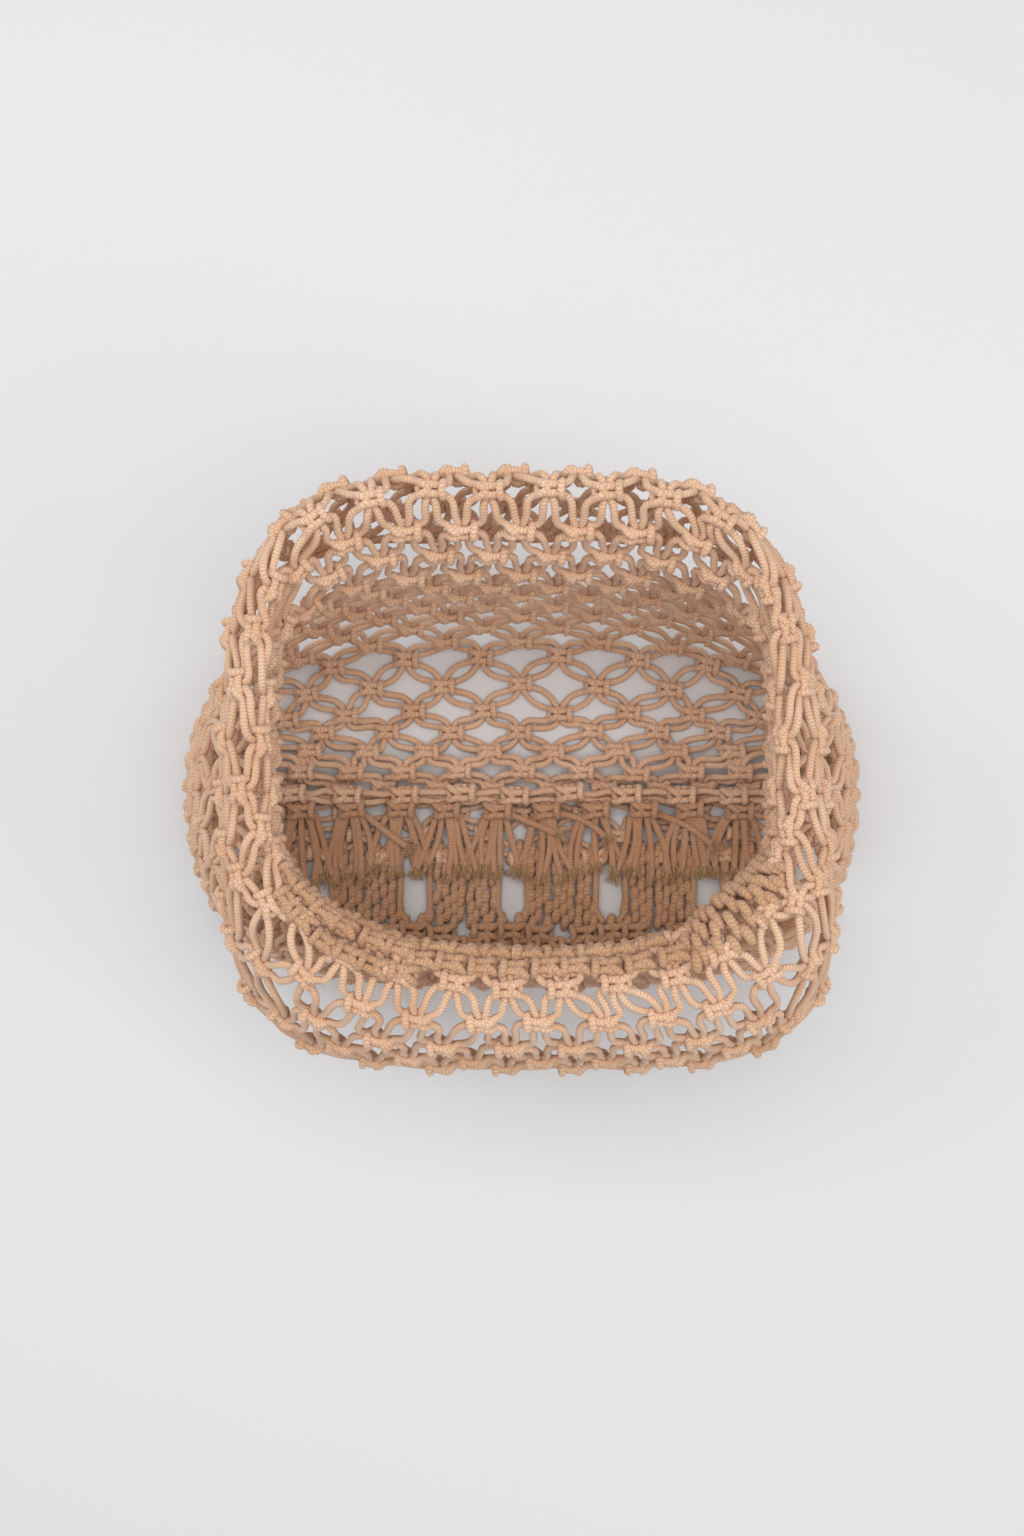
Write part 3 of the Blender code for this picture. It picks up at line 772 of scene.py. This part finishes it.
class HANDBAG_OT_corner_patches(bpy.types.Operator):
    """Packs the two corners of the mouth with close knotting"""
    bl_idname = "handbag.corner_patches"
    bl_label = "Pack the mouth's corners"

    def execute(self, context):
        panel = form("front")
        for patch in PATCHES:
            strands, dice = Strands(), np.random.default_rng(PATCH_SEED)
            (first, last), (low, high) = patch.columns, patch.stations
            station, row = low, 0
            while station < high:
                column, odd = first, row
                while column < last:
                    here = panel.place(column, station)
                    beside = panel.place(column + STAND_STEP, station)
                    above = panel.place(column, station + STAND_STEP)
                    across = STAND_STEP * patch.across * MM / (beside - here).length
                    along = STAND_STEP * patch.along * MM / (above - here).length
                    rise = (math.sin(math.pi * (column - first) / (last - first))
                            * math.sin(math.pi * (station - low) / (high - low)))
                    lift = PATCH_LIFT + patch.bulge * max(rise, 0.0)
                    if patch.knots:
                        stand = panel.stand(column + across * (row % 2) / 2, station)
                        add_lone_knot(strands, stand, dice, 1.0, lift)
                    else:
                        stand = panel.stand(column, min(station + along * (odd % 2) / 2, high))
                        add_bump(strands, stand, dice, lift)
                    odd += 1
                    column += across
                station += along
                row += 1
            strands.make(patch.name, dense_cotton(), "dense_cord", ["front_panel"])
        return {"FINISHED"}


# The hems, the rolled bottom seam and the fringe

# The doubled cord of a hem: half its width, and how its two cords sway round each other,
# in radians, once in each such length
HEM_RADIUS = 0.004
HEM_SWAY = 0.5
HEM_TWIST = 0.055


class HANDBAG_OT_hems(bpy.types.Operator):
    """Lays the doubled cord along the free edge of each panel"""
    bl_idname = "handbag.hems"
    bl_label = "Lay the hems"

    def execute(self, context):
        for name in ("back", "front"):
            panel, strands = form(name), Strands()
            centre = []
            for n in range(2 * HALF_PITCHES + 1):
                place, across, up, inward = panel.stand(n / 2, STATIONS)
                centre.append((place + up * HEM_RADIUS, up, inward))
            for phase in (0.0, math.pi):
                line, run = [], 0.0
                for n, (place, up, inward) in enumerate(centre):
                    run += (place - centre[max(n - 1, 0)][0]).length
                    turn = phase + HEM_SWAY * math.sin(run / HEM_TWIST * 2 * math.pi)
                    line.append(place + (up * math.cos(turn) + inward * math.sin(turn))
                                * cord_radius())
                strands.add(smooth_run(line, RING_STEP * MM))
            strands.make(f"{name}_hem_cords", net_cotton(), "net_cord", [f"{name}_hem"])
        return {"FINISHED"}


# The long cords of the bottom seam, each by its y and z, and the row of knots over them
SEAM_LENGTH = 0.300
SEAM_CORDS = ((-0.0030, 0.0125), (-0.0078, 0.0105), (-0.0062, 0.0062))
SEAM_CORD_POINTS = 40
SEAM_WAVE = 0.0012
SEAM_KNOTS = 9
SEAM_KNOT_PITCH = 0.0335
SEAM_KNOT_MIDDLE = (-0.004, -0.0035, 0.0150)
SEAM_KNOT_FACES = (0.0, -0.25, 0.97)
SEAM_KNOT_SCALE = 1.15


class HANDBAG_OT_bottom_seam(bpy.types.Operator):
    """Lays the long cords of the bottom seam and ties the knots that gather them"""
    bl_idname = "handbag.bottom_seam"
    bl_label = "Gather the bottom seam"

    def execute(self, context):
        strands, dice = Strands(), np.random.default_rng(SEAM_SEED)
        for y, z in SEAM_CORDS:
            line = [(SEAM_LENGTH * (n / SEAM_CORD_POINTS - 0.5),
                     y + dice.uniform(-1, 1) * SEAM_WAVE, z + dice.uniform(-1, 1) * SEAM_WAVE)
                    for n in range(SEAM_CORD_POINTS + 1)]
            strands.add(smooth_run(line, RING_STEP * MM))
        inward = Vector(SEAM_KNOT_FACES).normalized()
        for n in range(SEAM_KNOTS):
            off = Vector(((n - (SEAM_KNOTS - 1) / 2) * SEAM_KNOT_PITCH, 0.0, 0.0))
            stand = (Vector(SEAM_KNOT_MIDDLE) + off, Vector((1, 0, 0)), None, inward)
            add_lone_knot(strands, stand, dice, SEAM_KNOT_SCALE)
        strands.make("bottom_seam_cords", net_cotton(), "net_cord", ["bottom_seam"])
        return {"FINISHED"}


TASSEL_COUNT = 10
TASSEL_PITCH = 0.0295
# A tassel's knot: its y and z, the way it faces, its size, and how wide its cords spring
HEAD_PLACE = (-0.0125, 0.0128)
HEAD_FACES = (0.0, -0.35, 0.94)
HEAD_SCALE = 1.12
HEAD_SPRING = Vector((0.014, -0.003, -0.002))
# Each tassel's length, as a share of the fringe's
FRINGE_LENGTHS = (1.10, 1.04, 0.92, 1.00, 0.97, 1.02, 0.93, 1.02, 0.96, 0.98)
FEWEST_TAILS = 6
TAIL_SPREAD = 0.60
TAIL_WANDER = 0.12
TAIL_BOW = 0.10
TAIL_LIFT = (0.0065, 0.0085)
TAIL_LENGTHS = (0.86, 1.06)
TAIL_SIDES = 8
TAIL_POINTS = (0.25, 0.5, 0.75, 1.0)
# A tail has come down to where it lies before its end: the factor says how much sooner
TAIL_DROP = 1.6
# The tassels with one cord that strays over its neighbour, the way it heads and its height
STRAYING_TASSELS = (1, 4, 5, 7)
STRAY_HEADING = (0.8, 1.25)
STRAY_LIFT = 0.0125
# A cut end's fibres: how thick in millimetres, how many, how far out in the cord they
# start, how long as a share of the brush, how far they splay as a share of that, and how
# thick they are at their root, middle and tip
FIBRE_RADIUS = 0.28
FIBRES = 40
FIBRE_ROOTS = 0.8
FIBRE_REACH = (0.65, 1.1)
FIBRE_SPLAY = (0.3, 0.75)
FIBRE_TAPER = (1.0, 0.9, 0.4)


def add_tail(strands, brushes, root, heading, length, lift, dice):
    """A cord end that lies on the floor band and frays into a brush of yarn."""
    ahead = Vector((math.sin(heading), -math.cos(heading), 0.0))
    beside = Vector((ahead.y, -ahead.x, 0.0))
    bow = dice.uniform(-TAIL_BOW, TAIL_BOW) * length
    line = [root]
    for share in TAIL_POINTS:
        height = root.z + (lift - root.z) * min(1.0, share * TAIL_DROP)
        spot = root + ahead * length * share + beside * bow * math.sin(math.pi * share)
        line.append(Vector((spot.x, spot.y, height)))
    run = smooth_run(line, RING_STEP * MM)
    strands.add(run, sides=TAIL_SIDES)
    add_brush(brushes, Vector(run[-1]), (Vector(run[-1]) - Vector(run[-2])).normalized(), dice)


def add_brush(brushes, end, aim, dice):
    """The loose yarn at a cord's cut end."""
    side = aim.cross(Vector((0, 0, 1))).normalized()
    top = side.cross(aim)
    brush_length = bpy.context.scene.handbag_cord.brush_length
    thick = FIBRE_RADIUS * MM
    for _ in range(FIBRES):
        turn, off = dice.uniform(0, 2 * math.pi), math.sqrt(dice.uniform(0, 1))
        out = side * math.cos(turn) + top * math.sin(turn)
        start = end - aim * cord_radius() + out * off * cord_radius() * FIBRE_ROOTS
        reach = brush_length * dice.uniform(*FIBRE_REACH)
        splay = out * reach * off * dice.uniform(*FIBRE_SPLAY)
        half = start + aim * reach / 2 + splay / 3
        tip = start + aim * reach + splay
        for point in (half, tip):
            point.z = max(point.z, 2 * thick)
        brushes.add([start, half, tip], [thick * share for share in FIBRE_TAPER], sides=3)


class HANDBAG_OT_fringe(bpy.types.Operator):
    """Ties the tassels of the inner fringe and frays their ends"""
    bl_idname = "handbag.fringe"
    bl_label = "Tie the fringe"

    def execute(self, context):
        fringe_length = context.scene.handbag_cord.fringe_length
        for n in range(TASSEL_COUNT):
            strands, brushes = Strands(), Strands()
            dice = np.random.default_rng(FRINGE_SEED + n)
            head = Vector(((n - (TASSEL_COUNT - 1) / 2) * TASSEL_PITCH, *HEAD_PLACE))
            stand = (head, Vector((1.0, 0.0, 0.0)), None, Vector(HEAD_FACES).normalized())
            add_lone_knot(strands, stand, dice, HEAD_SCALE)
            tails = FEWEST_TAILS + n % 3
            for k in range(tails):
                share = k / (tails - 1) - 0.5
                root = head + HEAD_SPRING * Vector((share, 1.0, 1.0))
                heading = share * TAIL_SPREAD + dice.uniform(-TAIL_WANDER, TAIL_WANDER)
                lift = dice.uniform(*TAIL_LIFT)
                length = fringe_length * FRINGE_LENGTHS[n] * dice.uniform(*TAIL_LENGTHS)
                if n in STRAYING_TASSELS and k == tails - 1:
                    heading, lift = dice.uniform(*STRAY_HEADING), STRAY_LIFT
                add_tail(strands, brushes, root, heading, length, lift, dice)
            node_name = f"tassel_{n + 1}"
            strands.make(f"{node_name}_cords", fringe_cotton(), "fringe_cord", [node_name])
            brushes.make(f"{node_name}_brush", brush_cotton(), "fringe_cord", [node_name])
        return {"FINISHED"}


# The studio

CAMERA_PLACE = (-0.0055, 0.012, 1.0)
CAMERA_LENS = 37.97
SENSOR_WIDTH = 36.0
FLOOR_SIDE = 6.0

# The soft lights: where each hangs, its width, and the property that gives its power
Light = namedtuple("Light", "name place width power")
LIGHTS = [
    Light("soft_light_above", (0.0, 0.15, 1.7), 1.4, "overhead_power"),
    Light("soft_light_left", (-1.5, 0.6, 1.3), 1.2, "side_power"),
    Light("soft_light_right", (1.5, -0.4, 1.3), 1.2, "side_power"),
]


class HANDBAG_OT_studio(bpy.types.Operator):
    """Lays the pale floor, hangs the soft lights and sets the camera above the bag"""
    bl_idname = "handbag.studio"
    bl_label = "Set up the studio"

    def execute(self, context):
        scene = context.scene
        settings = scene.handbag_studio
        scene.view_settings.view_transform = "Standard"

        square = bmesh.new()
        bmesh.ops.create_grid(square, x_segments=1, y_segments=1, size=FLOOR_SIDE / 2)
        mesh = bpy.data.meshes.new("studio_floor")
        square.to_mesh(mesh)
        square.free()
        floor = bpy.data.objects.new("studio_floor", mesh)
        scene.collection.objects.link(floor)
        paper = bpy.data.materials.new("matt_studio_paper")
        paper.use_nodes = True
        shader = paper.node_tree.nodes["Principled BSDF"]
        shader.inputs["Base Color"].default_value = tinted(settings.floor_colour)
        shader.inputs["Roughness"].default_value = 0.9
        shader.inputs["Specular IOR Level"].default_value = 0.1
        mesh.materials.append(paper)

        for light in LIGHTS:
            lamp = bpy.data.lights.new(light.name, "AREA")
            lamp.size = light.width
            lamp.energy = getattr(settings, light.power)
            lamp_object = bpy.data.objects.new(light.name, lamp)
            lamp_object.location = light.place
            aim = (-Vector(light.place)).to_track_quat("-Z", "Y")
            lamp_object.rotation_euler = aim.to_euler()
            scene.collection.objects.link(lamp_object)

        world = bpy.data.worlds.new("pale_studio")
        world.use_nodes = True
        background = world.node_tree.nodes["Background"]
        background.inputs["Color"].default_value = tinted(settings.world_colour)
        background.inputs["Strength"].default_value = settings.world_light
        scene.world = world

        camera = bpy.data.cameras.new("camera_above")
        camera.lens = CAMERA_LENS
        camera.sensor_width = SENSOR_WIDTH
        camera_object = bpy.data.objects.new("camera_above", camera)
        camera_object.location = CAMERA_PLACE
        scene.collection.objects.link(camera_object)
        scene.camera = camera_object
        return {"FINISHED"}


class HandbagCord(bpy.types.PropertyGroup):
    width: bpy.props.FloatProperty(
        name="Cord width", description="Width of the round cord that the bag is knotted from",
        unit="LENGTH", min=0.002, max=0.005, default=0.004)
    fringe_length: bpy.props.FloatProperty(
        name="Fringe length", description="How far the tassels' cords reach from their knots",
        unit="LENGTH", min=0.02, max=0.045, default=0.037)
    brush_length: bpy.props.FloatProperty(
        name="Brush length", description="Length of the loose yarn at each cut end",
        unit="LENGTH", min=0.0, max=0.012, default=0.0085)
    net_colour: bpy.props.FloatVectorProperty(
        name="Net colour", description="Colour of the cord of the open net", subtype="COLOR",
        min=0.0, max=1.0, default=linear("#eec8a8"))
    packed_colour: bpy.props.FloatVectorProperty(
        name="Packed colour", description="Colour of the cord where it is knotted close",
        subtype="COLOR", min=0.0, max=1.0, default=linear("#d2a985"))
    fringe_colour: bpy.props.FloatVectorProperty(
        name="Fringe colour", description="Colour of the tassels' cords", subtype="COLOR",
        min=0.0, max=1.0, default=linear("#d0a481"))
    brush_colour: bpy.props.FloatVectorProperty(
        name="Brush colour", description="Colour of the cut yarn at the tassels' ends",
        subtype="COLOR", min=0.0, max=1.0, default=linear("#e2bb8a"))


class HandbagStudio(bpy.types.PropertyGroup):
    floor_colour: bpy.props.FloatVectorProperty(
        name="Floor colour", description="Colour of the studio floor", subtype="COLOR",
        min=0.0, max=1.0, default=linear("#e0e0e1"))
    overhead_power: bpy.props.FloatProperty(
        name="Light above", description="Power of the soft light above", unit="POWER",
        min=0.0, default=15.5)
    side_power: bpy.props.FloatProperty(
        name="Side lights", description="Power of each soft light at the side", unit="POWER",
        min=0.0, default=8.8)
    world_colour: bpy.props.FloatVectorProperty(
        name="Room colour", description="Colour of the light from all around",
        subtype="COLOR", min=0.0, max=1.0, default=linear("#f0f2f5"))
    world_light: bpy.props.FloatProperty(
        name="Room light", description="Strength of the light from all around",
        min=0.0, default=0.50)


class HANDBAG_PT_panel(bpy.types.Panel):
    """The steps of making the handbag, in order"""
    bl_idname = "HANDBAG_PT_panel"
    bl_label = "Knotted handbag"
    bl_space_type = "VIEW_3D"
    bl_region_type = "UI"
    bl_category = "Handbag"

    def draw(self, context):
        column = self.layout.column()
        for group in (context.scene.handbag_cord, context.scene.handbag_studio):
            for name in group.bl_rna.properties.keys():
                if name not in ("rna_type", "name"):
                    column.prop(group, name)
        for operator in OPERATORS:
            column.operator(operator.bl_idname)


OPERATORS = (HANDBAG_OT_studio, HANDBAG_OT_net, HANDBAG_OT_floor_band,
             HANDBAG_OT_corner_patches, HANDBAG_OT_hems, HANDBAG_OT_bottom_seam,
             HANDBAG_OT_fringe)
CLASSES = (HandbagCord, HandbagStudio, *OPERATORS, HANDBAG_PT_panel)


def register():
    for each in CLASSES:
        bpy.utils.register_class(each)
    bpy.types.Scene.handbag_cord = bpy.props.PointerProperty(type=HandbagCord)
    bpy.types.Scene.handbag_studio = bpy.props.PointerProperty(type=HandbagStudio)


def unregister():
    del bpy.types.Scene.handbag_studio
    del bpy.types.Scene.handbag_cord
    for each in reversed(CLASSES):
        bpy.utils.unregister_class(each)


def main():
    register()
    for operator in OPERATORS:
        group, name = operator.bl_idname.split(".")
        getattr(getattr(bpy.ops, group), name)()


if __name__ == "__main__":
    main()
